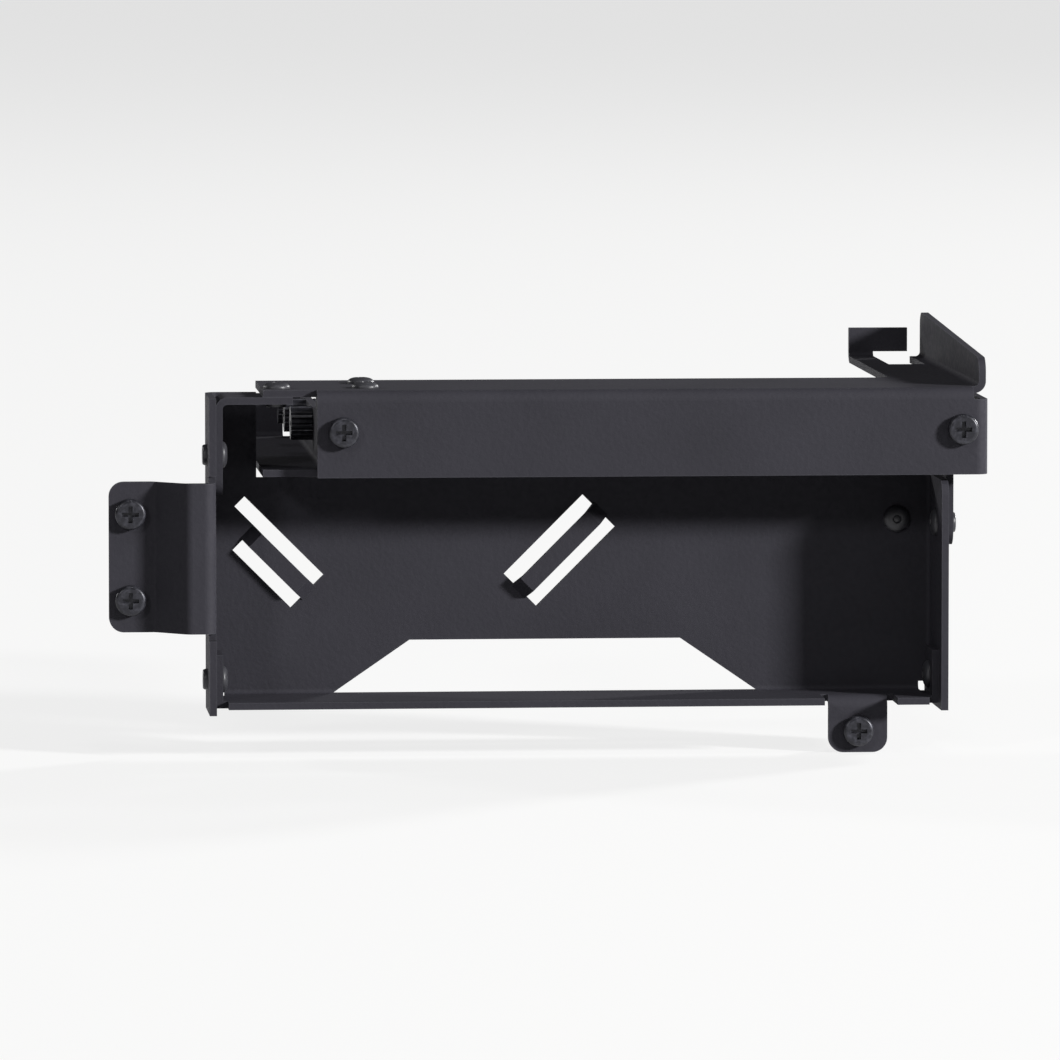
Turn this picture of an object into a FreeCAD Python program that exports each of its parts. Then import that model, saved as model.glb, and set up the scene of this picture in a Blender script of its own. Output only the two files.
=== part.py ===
"""Bracket that holds a graphics card upright: folded pan, slot tray, supports and their fasteners.

The pieces are drawn in the pan's frame: X from the pan's left wall, Y from its front edges towards the back,
Z from the underside of its floor. They are placed so that the part's origin lies on the back of the ear,
halfway between the two ear screws.
"""
import FreeCAD
import Part
import Sketcher
import math
import os
from types import SimpleNamespace

DIMENSIONS = {
    # Sheet steel and its folds
    "sheet": 1.2,
    "bend_inside": 0.8,
    "corner_round": 2.5,
    "clearance": 0.5,
    # Pan
    "pan_width": 125.0,
    "pan_depth": 16.0,
    "panel_height": 38.0,
    "wall_drop": 1.0,
    "corner_tab_height": 9.0,
    "corner_tab_depth": 10.0,
    # Cable window in the pan
    "window_middle": 57.8,
    "window_base": 72.4,
    "window_crown": 46.2,
    "window_top": 10.2,
    # Cable-tie bridges
    "slit_length": 19.0,
    "short_slit_length": 14.0,
    "slit_width": 2.4,
    "bridge_width": 3.1,
    "bridge_rise": 2.2,
    "bridge_ramp": 2.0,
    "bridge_tilt": 45.0,
    "bridge_level": 25.3,
    "left_bridge_middle": 10.6,
    "right_bridge_middle": 60.3,
    # Ear and foot
    "ear_reach": 16.7,
    "ear_flat": 3.6,
    "ear_step": 5.3,
    "joggle": 5.0,
    "ear_middle": 25.5,
    "ear_height": 25.4,
    "ear_screw_inset": 3.6,
    "ear_screw_spacing": 14.6,
    "foot_inset": 14.8,
    "foot_width": 10.0,
    "foot_drop": 8.5,
    "foot_screw_drop": 4.8,
    # Slot tray
    "tray_level": 52.5,
    "tray_left": 9.2,
    "tray_overhang": 6.7,
    "bar_left": 18.2,
    "bar_height": 14.7,
    "bar_return": 20.0,
    "cheek_height": 8.0,
    "cheek_fall": 3.3,
    "cheek_inset": 4.0,
    "shelf_depth": 28.0,
    "arm_width": 13.7,
    "arm_opening_width": 6.4,
    "arm_opening_depth": 25.0,
    "fence_height": 5.0,
    "fence_width": 10.4,
    "slot_pitch": 20.32,
    # Screw ledge
    "ledge_upright": 19.5,
    "ledge_flange": 10.0,
    "ledge_tab": 9.0,
    "ledge_rivet_margin": 8.0,
    "thumbscrew_drop": 6.8,
    "ledge_drop": 4.0,
    "ledge_end_height": 8.0,
    # Tray supports
    "support_left_reach": 13.0,
    "support_left_height": 16.5,
    "support_left_front": 2.5,
    "support_left_depth": 11.5,
    "support_rivet_drop": 10.0,
    "support_right_bottom": 26.7,
    "support_right_tab": 4.6,
    "support_right_rear": 14.0,
    "support_right_rear_height": 10.0,
    "support_rivet_edge": 3.6,
    # Fasteners
    "screw_radius": 1.5,
    "screw_neck_radius": 1.3,
    "screw_clearance": 0.1,
    "screw_head_radius": 2.6,
    "screw_head_height": 1.6,
    "screw_length": 7.0,
    "bar_screw_length": 4.6,
    "screw_head_round": 0.6,
    "recess_length": 2.8,
    "recess_width": 0.7,
    "recess_depth": 0.9,
    "bar_screw_inset": 4.4,
    "bar_screw_drop": 7.0,
    "thumb_radius": 2.9,
    "thumb_height": 3.8,
    "knurl_width": 0.5,
    "knurl_depth": 0.25,
    "rivet_radius": 1.2,
    "rivet_head_radius": 2.3,
    "rivet_head_height": 1.0,
    "rivet_head_round": 0.9,
    "rivet_tail_radius": 1.8,
    "rivet_tail_height": 0.8,
}
SLOT_COUNT = 3
KNURL_COUNT = 20
# The share of its thickness by which a joggled strip's two faces are offset along it
JOGGLE_SHIFT = 0.45
# Turns that point a fastener's head to one side
FACE_UP = FreeCAD.Rotation()
FACE_FRONT = FreeCAD.Rotation(FreeCAD.Vector(1, 0, 0), 90)
FACE_LEFT = FreeCAD.Rotation(FreeCAD.Vector(0, 1, 0), -90)
FACE_RIGHT = FreeCAD.Rotation(FreeCAD.Vector(0, 1, 0), 90)


class Size:
    """A length with its value and the formula that ties it to the cells of the sheet."""

    def __init__(self, formula, value):
        self.formula = formula
        self.value = value

    def __add__(self, other):
        other = size_of(other)
        return Size(f"({self.formula} + {other.formula})", self.value + other.value)

    def __sub__(self, other):
        other = size_of(other)
        return Size(f"({self.formula} - {other.formula})", self.value - other.value)

    def __mul__(self, factor):
        return Size(f"({self.formula} * {factor})", self.value * factor)

    def __truediv__(self, divisor):
        return Size(f"({self.formula} / {divisor})", self.value / divisor)

    def __neg__(self):
        return self * -1


def size_of(length):
    """The length itself, or a plain number as a length."""
    return length if isinstance(length, Size) else Size(f"({length})", length)


doc = FreeCAD.newDocument("card_bracket")
cells = doc.addObject("Spreadsheet::Sheet", "dims")
for row, (alias, number) in enumerate(DIMENSIONS.items(), 1):
    cells.set(f"A{row}", alias)
    cells.set(f"B{row}", str(number))
    cells.setAlias(f"B{row}", alias)
doc.recompute()

d = SimpleNamespace(**{alias: Size(f"dims.{alias}", cells.get(alias)) for alias in DIMENSIONS})
bend_outside = d.sheet + d.bend_inside
fold_room = bend_outside + d.clearance
panel_back = d.pan_depth + d.sheet
wall_inner_right = d.pan_width - d.sheet
tray_top = d.tray_level + d.sheet
tray_right = d.pan_width + d.tray_overhang
tray_depth = d.shelf_depth + d.slot_pitch * SLOT_COUNT
tray_fold = tray_right - fold_room
bar_bottom = tray_top - d.bar_height
ear_left = -d.ear_reach
ear_bottom = d.ear_middle - d.ear_height / 2
mount_face = d.joggle + d.sheet
arm_left = tray_right - d.arm_width
slot_middles = [d.shelf_depth + d.slot_pitch * (number + 0.5) for number in range(SLOT_COUNT)]
ledge_front = d.sheet + fold_room
ledge_back = tray_depth - d.sheet - d.clearance
ledge_rivet_x = d.ledge_upright + d.ledge_flange - d.rivet_head_radius - d.clearance
ledge_rivet_spots = [
    (ledge_rivet_x, d.ledge_rivet_margin),
    (ledge_rivet_x, d.shelf_depth - d.ledge_rivet_margin),
]
thumbscrew_level = d.tray_level - d.thumbscrew_drop
bar_screw_level = tray_top - d.bar_screw_drop
bar_screw_left_x = d.bar_left + d.bar_screw_inset
bar_screw_right_x = tray_right - d.bar_screw_inset
screw_hole = d.screw_radius + d.screw_clearance
rivet_hole = d.rivet_radius + d.screw_clearance
ear_screw_x = ear_left + d.ear_screw_inset
ear_screw_half = d.ear_screw_spacing / 2
ear_screw_spots = [(ear_screw_x, d.ear_middle - ear_screw_half), (ear_screw_x, d.ear_middle + ear_screw_half)]
foot_middle = d.pan_width - d.foot_inset
foot_screw_spot = (foot_middle, -d.foot_screw_drop)
overcut = d.sheet * 2
corner_rivet_spot = (d.pan_depth / 2, d.corner_tab_height / 2)
left_support_rivet_spot = (d.pan_depth / 2, d.tray_level - d.support_rivet_drop)
support_rivet_level = d.support_right_bottom + d.support_rivet_edge
right_support_rivet_spot = (d.pan_depth / 2, support_rivet_level)
panel_rivet_spot = (d.pan_width - d.support_right_rear / 2, support_rivet_level)
tray_rivet_spot = ((d.tray_left + d.sheet + d.support_left_reach) / 2, d.pan_depth / 2)

# The sketch normal of each origin plane points along the plane's axis, or against it.
NORMAL = {"XY": 1, "YZ": 1, "XZ": -1}


def origin_feature(body, role):
    """One of the body's own origin planes or axes."""
    return next(feature for feature in body.Origin.OriginFeatures if feature.Role == role)


def new_body(label):
    """Empty body of one sub-part, whose label names its file."""
    body = doc.addObject("PartDesign::Body", label)
    body.Label = label
    return body


def new_sketch(body, name, plane, start):
    """Sketch on one of the body's origin planes, moved along that plane's axis to start."""
    sketch = body.newObject("Sketcher::SketchObject", name + "_sketch")
    sketch.AttachmentSupport = (origin_feature(body, plane + "_Plane"), [""])
    sketch.MapMode = "FlatFace"
    sketch.setExpression("AttachmentOffset.Base.z", (size_of(start) * NORMAL[plane]).formula)
    return sketch


def tie(sketch, kind, place, size):
    """Dimension on the sketch, bound to the sheet."""
    index = sketch.addConstraint(Sketcher.Constraint(kind, *place, size.value))
    sketch.setExpression(f"Constraints[{index}]", size.formula)


def draw_outline(sketch, corners):
    """Closed outline of straight edges, with each corner's two coordinates bound to the sheet."""
    corners = [(size_of(u), size_of(v)) for u, v in corners]
    first = sketch.GeometryCount
    points = [FreeCAD.Vector(u.value, v.value, 0) for u, v in corners]
    for start, end in zip(points, points[1:] + points[:1]):
        sketch.addGeometry(Part.LineSegment(start, end), False)
    for i, (u, v) in enumerate(corners):
        after = first + (i + 1) % len(corners)
        sketch.addConstraint(Sketcher.Constraint("Coincident", first + i, 2, after, 1))
        tie(sketch, "DistanceX", (-1, 1, first + i, 1), u)
        tie(sketch, "DistanceY", (-1, 1, first + i, 1), v)


def draw_circle(sketch, u, v, radius):
    """Circle with its centre and radius bound to the sheet."""
    centre = FreeCAD.Vector(u.value, v.value, 0)
    index = sketch.addGeometry(Part.Circle(centre, FreeCAD.Vector(0, 0, 1), radius.value), False)
    tie(sketch, "DistanceX", (-1, 1, index, 3), u)
    tie(sketch, "DistanceY", (-1, 1, index, 3), v)
    tie(sketch, "Radius", (index,), radius)


def rectangle(left, low, right, high):
    """The four corners of a rectangle."""
    return [(left, low), (right, low), (right, high), (left, high)]


def finish(feature):
    """Compute a new feature and stop at once if it failed."""
    doc.recompute()
    failed = "Invalid" in feature.State or "Error" in feature.State
    if failed or feature.Shape.isNull() or not feature.Shape.isValid() or len(feature.Shape.Solids) != 1:
        raise RuntimeError(f"{feature.Label} failed: {feature.State}")


def extrude(body, name, sketch, length, plane, cuts=False):
    """Pad or pocket of a sketch along the positive direction of its plane's axis."""
    feature = body.newObject("PartDesign::Pocket" if cuts else "PartDesign::Pad", name)
    feature.Profile = sketch
    feature.setExpression("Length", size_of(length).formula)
    feature.Reversed = (NORMAL[plane] > 0) == cuts
    finish(feature)
    return feature


def add(body, name, plane, outline, start, end):
    """Pad of one outline from start to end."""
    sketch = new_sketch(body, name, plane, start)
    draw_outline(sketch, outline)
    return extrude(body, name, sketch, size_of(end) - start, plane)


def cut(body, name, plane, outlines, start, end):
    """Pocket of one or more outlines from start to end."""
    before = body.Shape.Volume
    sketch = new_sketch(body, name, plane, start)
    for outline in outlines:
        draw_outline(sketch, outline)
    feature = extrude(body, name, sketch, size_of(end) - start, plane, cuts=True)
    if body.Shape.Volume >= before:
        raise RuntimeError(f"{name} cuts nothing from {body.Label}")
    return feature


def drill(body, name, plane, centres, radius, start, end):
    """Round holes from start to end."""
    before = body.Shape.Volume
    sketch = new_sketch(body, name, plane, start)
    for u, v in centres:
        draw_circle(sketch, u, v, radius)
    extrude(body, name, sketch, size_of(end) - start, plane, cuts=True)
    if body.Shape.Volume >= before:
        raise RuntimeError(f"{name} drills nothing from {body.Label}")


def edges_along(shape, axis, spots, between):
    """Names of the straight edges along an axis through the spots across it, between two levels."""
    direction = FreeCAD.Vector(*[float(axis == letter) for letter in "XYZ"])
    across = {"X": ("y", "z"), "Y": ("x", "z"), "Z": ("x", "y")}[axis]
    low, high = [size_of(level).value for level in between] if between else (-math.inf, math.inf)
    near = 0.001
    names = []
    for number, edge in enumerate(shape.Edges, 1):
        if not isinstance(edge.Curve, (Part.Line, Part.LineSegment)):
            continue
        if abs(abs(edge.tangentAt(edge.FirstParameter).dot(direction)) - 1) > near:
            continue
        middle = edge.CenterOfMass
        if not low < middle.dot(direction) < high:
            continue
        for u, v in spots:
            offset_u = getattr(middle, across[0]) - size_of(u).value
            offset_v = getattr(middle, across[1]) - size_of(v).value
            if abs(offset_u) < near and abs(offset_v) < near:
                names.append(f"Edge{number}")
    return names


def round_edges(body, name, axis, spots, radius, between=None):
    """Fillet of the straight edges that run along an axis through the spots."""
    base = body.Tip
    names = edges_along(base.Shape, axis, spots, between)
    if len(names) < len(spots):
        raise RuntimeError(f"{name} finds {len(names)} of {len(spots)} edges on {body.Label}")
    fillet = body.newObject("PartDesign::Fillet", name)
    fillet.Base = (base, names)
    fillet.setExpression("Radius", radius.formula)
    finish(fillet)


def fold(body, name, axis, outer, inner, between=None):
    """Bend of the sheet: the outer edge is rounded by one thickness more than the inner edge."""
    round_edges(body, name + "_outer", axis, [outer], bend_outside, between)
    round_edges(body, name + "_inner", axis, [inner], d.bend_inside, between)


def place(body, x, y, z, turn=FreeCAD.Rotation()):
    """Put a piece at a point of the pan's frame, moved to the part's own origin."""
    spot = (
        size_of(x) + d.ear_reach - d.ear_screw_inset,
        size_of(y) - mount_face,
        size_of(z) - d.ear_middle,
    )
    body.Placement = FreeCAD.Placement(FreeCAD.Vector(*[size.value for size in spot]), turn)
    for axis, size in zip("xyz", spot):
        body.setExpression(f"Placement.Base.{axis}", size.formula)


def base_panel():
    """Folded pan: panel, side walls, floor, ear, foot, cable window and tie bridges."""
    body = new_body("base_panel")
    low = -d.wall_drop
    floor_left = d.sheet + bend_outside
    floor_right = d.pan_width - floor_left
    channel = [
        (0, 0), (0, panel_back), (d.pan_width, panel_back), (d.pan_width, 0),
        (wall_inner_right, 0), (wall_inner_right, d.pan_depth), (d.sheet, d.pan_depth), (d.sheet, 0),
    ]
    add(body, "walls", "XY", channel, low, d.tray_level)
    fold(body, "left_fold", "Z", (0, panel_back), (d.sheet, d.pan_depth))
    fold(body, "right_fold", "Z", (d.pan_width, panel_back), (wall_inner_right, d.pan_depth))

    # Only the left wall and a narrow horn beside it rise to the tray.
    horn_right = d.tray_left - d.clearance
    above = rectangle(horn_right, d.panel_height, d.pan_width + overcut, d.tray_level + overcut)
    cut(body, "panel_top", "XZ", [above], -overcut, panel_back + overcut)
    round_edges(body, "right_wall_corner", "X", [(0, d.panel_height)], d.corner_round)

    # The panel's lower edge folds forward into the floor, clear of the side walls.
    bottom = rectangle(bend_outside, low - overcut, d.pan_width - bend_outside, fold_room)
    cut(body, "panel_bottom", "XZ", [bottom], d.pan_depth - d.bend_inside, panel_back + overcut)
    floor = [
        (0, 0), (panel_back, 0), (panel_back, fold_room), (d.pan_depth, fold_room),
        (d.pan_depth, d.sheet), (0, d.sheet),
    ]
    add(body, "floor", "YZ", floor, floor_left, floor_right)
    fold(body, "floor_fold", "X", (panel_back, 0), (d.pan_depth, d.sheet))

    # The floor's ends turn up inside the side walls.
    tab_front = (d.pan_depth - d.corner_tab_depth) / 2
    tab_back = tab_front + d.corner_tab_depth
    for side, wall, inward in (("left", d.sheet, 1), ("right", wall_inner_right, -1)):
        tab = [
            (wall, 0), (wall + bend_outside * inward, 0), (wall + bend_outside * inward, d.sheet),
            (wall + d.sheet * inward, d.sheet), (wall + d.sheet * inward, d.corner_tab_height),
            (wall, d.corner_tab_height),
        ]
        add(body, side + "_corner_tab", "XZ", tab, tab_front, tab_back)

    ear(body)
    foot(body)

    half_base = d.window_base / 2
    half_crown = d.window_crown / 2
    window = [
        (d.window_middle - half_base, d.sheet), (d.window_middle + half_base, d.sheet),
        (d.window_middle + half_crown, d.window_top), (d.window_middle - half_crown, d.window_top),
    ]
    cut(body, "cable_window", "XZ", [window], d.pan_depth - d.bend_inside, panel_back + overcut)

    half_slit = d.slit_length / 2
    tie_bridge(body, "left_bridge", d.left_bridge_middle, -1, half_slit - d.short_slit_length, half_slit)
    tie_bridge(body, "right_bridge", d.right_bridge_middle, 1, -half_slit, half_slit)

    drill(
        body, "panel_rivet_hole", "XZ", [panel_rivet_spot], rivet_hole,
        d.pan_depth - overcut, panel_back + overcut)
    left_spots = [corner_rivet_spot, left_support_rivet_spot]
    drill(body, "left_wall_holes", "YZ", left_spots, rivet_hole, -overcut, overcut * 2)
    right_spots = [corner_rivet_spot, right_support_rivet_spot]
    drill(
        body, "right_wall_holes", "YZ", right_spots, rivet_hole,
        d.pan_width - overcut * 2, d.pan_width + overcut)
    place(body, 0, 0, 0)


def ear(body):
    """Ear folded outwards from the left wall's front edge and joggled back, with two screw holes."""
    top = ear_bottom + d.ear_height
    relief = rectangle(-overcut, ear_bottom - d.sheet, overcut, top + d.sheet)
    cut(body, "ear_relief", "XZ", [relief], -overcut, fold_room)

    # Offsetting a bent strip by its thickness shifts its corners along the strip.
    shift = d.sheet * JOGGLE_SHIFT
    step_start = -d.ear_flat
    step_end = step_start - d.ear_step
    profile = [
        (d.sheet, 0), (step_start, 0), (step_end, d.joggle), (ear_left, d.joggle), (ear_left, mount_face),
        (step_end - shift, mount_face), (step_start - shift, d.sheet), (0, d.sheet), (0, fold_room),
        (d.sheet, fold_room),
    ]
    add(body, "ear", "XY", profile, ear_bottom, top)
    span = (ear_bottom, top)
    fold(body, "ear_fold", "Z", (d.sheet, 0), (0, d.sheet), span)
    fold(body, "step_front", "Z", (step_start, 0), (step_start - shift, d.sheet), span)
    fold(body, "step_back", "Z", (step_end - shift, mount_face), (step_end, d.joggle), span)
    round_edges(body, "ear_corners", "Y", [(ear_left, ear_bottom), (ear_left, top)], d.corner_round)
    drill(body, "ear_holes", "XZ", ear_screw_spots, screw_hole, 0, mount_face + overcut)


def foot(body):
    """Tab folded down from the floor, with its back level with the ear's back."""
    left = foot_middle - d.foot_width / 2
    right = left + d.foot_width
    fold_back = d.joggle + fold_room
    relief = rectangle(left - d.sheet, -overcut, right + d.sheet, fold_back)
    cut(body, "foot_relief", "XY", [relief], -overcut, overcut)
    profile = [
        (d.joggle, -d.foot_drop), (mount_face, -d.foot_drop), (mount_face, 0), (fold_back, 0),
        (fold_back, d.sheet), (d.joggle, d.sheet),
    ]
    add(body, "foot", "YZ", profile, left, right)
    fold(body, "foot_fold", "X", (d.joggle, d.sheet), (mount_face, 0))
    round_edges(body, "foot_corners", "Y", [(left, -d.foot_drop), (right, -d.foot_drop)], d.corner_round)
    drill(body, "foot_hole", "XZ", [foot_screw_spot], screw_hole, 0, mount_face + overcut)


def tie_bridge(body, name, middle, lean, start, end):
    """Two slits at a slant with the strip between them pressed forward, for a cable tie to pass behind.

    The upper slit has the full length. The lower slit and the strip run from start to end along the slant.
    """
    tilt = FreeCAD.Rotation(FreeCAD.Vector(0, 0, 1), d.bridge_tilt.value * lean)
    half_strip = d.bridge_width / 2
    half_slit = d.slit_length / 2
    upper = rectangle(-half_slit, half_strip, half_slit, half_strip + d.slit_width)
    lower = rectangle(start, -half_strip - d.slit_width, end, half_strip + d.slit_width / 2)
    for part_name, outline in (("_slit", upper), ("_opening", lower)):
        before = body.Shape.Volume
        sketch = new_sketch(body, name + part_name, "XZ", d.pan_depth - overcut)
        turn_sketch(sketch, tilt, middle)
        draw_outline(sketch, outline)
        extrude(body, name + part_name, sketch, overcut * 2, "XZ", cuts=True)
        if body.Shape.Volume >= before:
            raise RuntimeError(f"{name} is not open")

    shift = d.sheet * JOGGLE_SHIFT
    rise = d.bridge_rise
    ramp_start = start + d.bridge_ramp
    ramp_end = end - d.bridge_ramp
    profile = [
        (start - d.sheet, -d.sheet), (start, -d.sheet), (ramp_start, rise - d.sheet),
        (ramp_end, rise - d.sheet), (end, -d.sheet), (end + d.sheet, -d.sheet), (end + d.sheet, 0),
        (end + shift, 0), (ramp_end + shift, rise), (ramp_start - shift, rise), (start - shift, 0),
        (start - d.sheet, 0),
    ]
    sketch = new_sketch(body, name + "_strip", "XZ", d.pan_depth)
    turn_sketch(sketch, tilt.multiply(FreeCAD.Rotation(FreeCAD.Vector(1, 0, 0), 90)), middle)
    draw_outline(sketch, profile)
    strip = body.newObject("PartDesign::Pad", name + "_strip")
    strip.Profile = sketch
    strip.setExpression("Length", d.bridge_width.formula)
    strip.Midplane = True
    finish(strip)


def turn_sketch(sketch, turn, middle):
    """Turn a panel sketch about the middle of a tie bridge."""
    sketch.AttachmentOffset = FreeCAD.Placement(sketch.AttachmentOffset.Base, turn)
    sketch.setExpression("AttachmentOffset.Base.x", middle.formula)
    sketch.setExpression("AttachmentOffset.Base.y", d.bridge_level.formula)


def slot_tray():
    """Folded tray: shelf, front bar with its return, and a right arm with a cheek and a rear fence."""
    body = new_body("slot_tray")
    profile = [
        (0, bar_bottom), (d.sheet, bar_bottom), (d.sheet, d.tray_level), (d.shelf_depth, d.tray_level),
        (d.shelf_depth, tray_top), (0, tray_top),
    ]
    add(body, "shelf", "YZ", profile, d.tray_left, tray_fold)
    fold(body, "bar_fold", "X", (0, tray_top), (d.sheet, d.tray_level))
    bar_relief = rectangle(d.tray_left - overcut, bar_bottom - overcut, d.bar_left, tray_top + overcut)
    cut(body, "bar_end", "XZ", [bar_relief], -overcut, fold_room)

    arm_back = tray_depth - fold_room
    arm = rectangle(arm_left, d.shelf_depth, tray_fold, arm_back)
    add(body, "arm", "XY", arm, d.tray_level, tray_top)
    round_edges(body, "arm_corner", "Z", [(arm_left, d.shelf_depth)], d.corner_round)

    edge = tray_right - d.sheet
    cheek_top = tray_top + d.cheek_height
    cheek = [
        (tray_fold, d.tray_level), (tray_right, d.tray_level), (tray_right, cheek_top), (edge, cheek_top),
        (edge, tray_top), (tray_fold, tray_top),
    ]
    add(body, "cheek", "XZ", cheek, d.cheek_inset, arm_back)
    fold(body, "cheek_fold", "Y", (tray_right, d.tray_level), (edge, tray_top))

    # The cheek's top falls towards the front.
    cheek_front_top = cheek_top - d.cheek_fall
    slope = [
        (d.cheek_inset, cheek_front_top), (arm_back, cheek_top), (arm_back, cheek_top + overcut),
        (d.cheek_inset, cheek_top + overcut),
    ]
    cut(body, "cheek_slope", "YZ", [slope], edge - overcut, tray_right + overcut)
    cheek_corners = [(d.cheek_inset, cheek_front_top), (arm_back, cheek_top)]
    round_edges(body, "cheek_corners", "X", cheek_corners, d.corner_round)

    fence_top = tray_top + d.fence_height
    fence_front = tray_depth - d.sheet
    fence = [
        (arm_back, d.tray_level), (tray_depth, d.tray_level), (tray_depth, fence_top),
        (fence_front, fence_top), (fence_front, tray_top), (arm_back, tray_top),
    ]
    add(body, "fence", "YZ", fence, arm_left, arm_left + d.fence_width)
    fold(body, "fence_fold", "X", (tray_depth, d.tray_level), (fence_front, tray_top))

    # The opening in the arm runs into the fold, so that the fence stands on its left end only.
    opening_right = tray_fold - d.clearance
    opening_left = opening_right - d.arm_opening_width
    opening_front = tray_depth - d.arm_opening_depth
    opening = rectangle(opening_left, opening_front, opening_right, tray_depth + overcut)
    cut(body, "arm_opening", "XY", [opening], d.tray_level - overcut, tray_top + d.bend_inside)

    bar_return = [
        (tray_fold, 0), (tray_right, 0), (tray_right, d.bar_return), (edge, d.bar_return), (edge, d.sheet),
        (tray_fold, d.sheet),
    ]
    add(body, "bar_return", "XY", bar_return, bar_bottom, d.tray_level - d.bend_inside)
    fold(body, "return_fold", "Z", (tray_right, 0), (edge, d.sheet))

    bar_spots = [(bar_screw_left_x, bar_screw_level), (bar_screw_right_x, bar_screw_level)]
    drill(body, "bar_holes", "XZ", bar_spots, screw_hole, -overcut, overcut)
    rivet_spots = [tray_rivet_spot] + ledge_rivet_spots
    drill(body, "rivet_holes", "XY", rivet_spots, rivet_hole, d.tray_level - overcut, tray_top + overcut)
    place(body, 0, 0, 0)


def screw_ledge():
    """Z strip: lip, upright with the thumbscrew holes, and a flange under the shelf."""
    body = new_body("screw_ledge")
    left = d.ledge_upright
    right = left + d.sheet
    flange_end = left + d.ledge_flange
    flange_low = d.tray_level - d.sheet
    profile = [
        (d.tray_left, bar_bottom), (right, bar_bottom), (right, flange_low), (flange_end, flange_low),
        (flange_end, d.tray_level), (left, d.tray_level), (left, bar_bottom + d.sheet),
        (d.tray_left, bar_bottom + d.sheet),
    ]
    add(body, "strip", "XZ", profile, ledge_front, ledge_back)
    fold(body, "lip_fold", "Y", (right, bar_bottom), (left, bar_bottom + d.sheet))
    fold(body, "flange_fold", "Y", (left, d.tray_level), (right, flange_low))

    # Behind the shelf only the lip and a lower upright go on.
    behind = rectangle(left - overcut, d.shelf_depth, flange_end + overcut, ledge_back + overcut)
    cut(body, "flange_end", "XY", [behind], d.tray_level - d.ledge_drop, d.tray_level + overcut)

    # The rear end of the lip turns up, clear of the upright.
    lip_top = bar_bottom + d.sheet
    end_top = bar_bottom + d.ledge_end_height
    end_front = ledge_back - d.sheet
    end_start = ledge_back - fold_room
    end_right = left - fold_room
    beside = rectangle(end_right, end_start, right + overcut, ledge_back + overcut)
    cut(body, "end_relief", "XY", [beside], bar_bottom - overcut, d.tray_level)
    end = [
        (end_start, bar_bottom), (ledge_back, bar_bottom), (ledge_back, end_top), (end_front, end_top),
        (end_front, lip_top), (end_start, lip_top),
    ]
    add(body, "end_tab", "YZ", end, d.tray_left, end_right)
    fold(body, "end_fold", "X", (ledge_back, bar_bottom), (end_front, lip_top))

    # The front end of the upright turns right, behind the bar.
    tab_end = left + d.ledge_tab
    tab = [
        (left, d.sheet), (tab_end, d.sheet), (tab_end, d.sheet * 2), (right, d.sheet * 2),
        (right, ledge_front), (left, ledge_front),
    ]
    add(body, "front_tab", "XY", tab, bar_bottom + fold_room, d.tray_level - fold_room)
    fold(body, "tab_fold", "Z", (left, d.sheet), (right, d.sheet * 2))

    thumb_spots = [(middle, thumbscrew_level) for middle in slot_middles]
    drill(body, "thumbscrew_holes", "YZ", thumb_spots, screw_hole, left - overcut, right + overcut)
    drill(
        body, "rivet_holes", "XY", ledge_rivet_spots, rivet_hole,
        flange_low - overcut, d.tray_level + overcut)
    tab_spot = (bar_screw_left_x, bar_screw_level)
    drill(body, "bar_screw_hole", "XZ", [tab_spot], screw_hole, d.sheet - overcut, d.sheet + overcut)
    place(body, 0, 0, 0)


def tray_support_left():
    """Angle from the pan's left wall to the underside of the tray."""
    body = new_body("tray_support_left")
    low = d.tray_level - d.support_left_height
    leg_low = d.tray_level - d.sheet
    leg_end = d.sheet + d.support_left_reach
    profile = [
        (d.sheet, low), (d.sheet * 2, low), (d.sheet * 2, leg_low), (leg_end, leg_low),
        (leg_end, d.tray_level), (d.sheet, d.tray_level),
    ]
    back = d.support_left_front + d.support_left_depth
    add(body, "angle", "XZ", profile, d.support_left_front, back)
    fold(body, "angle_fold", "Y", (d.sheet, d.tray_level), (d.sheet * 2, leg_low))
    round_edges(body, "leg_corners", "X", [(d.support_left_front, low), (back, low)], d.corner_round)
    drill(body, "wall_hole", "YZ", [left_support_rivet_spot], rivet_hole, -overcut, overcut * 2)
    drill(body, "tray_hole", "XY", [tray_rivet_spot], rivet_hole, leg_low - overcut, d.tray_level + overcut)
    place(body, 0, 0, 0)


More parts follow.
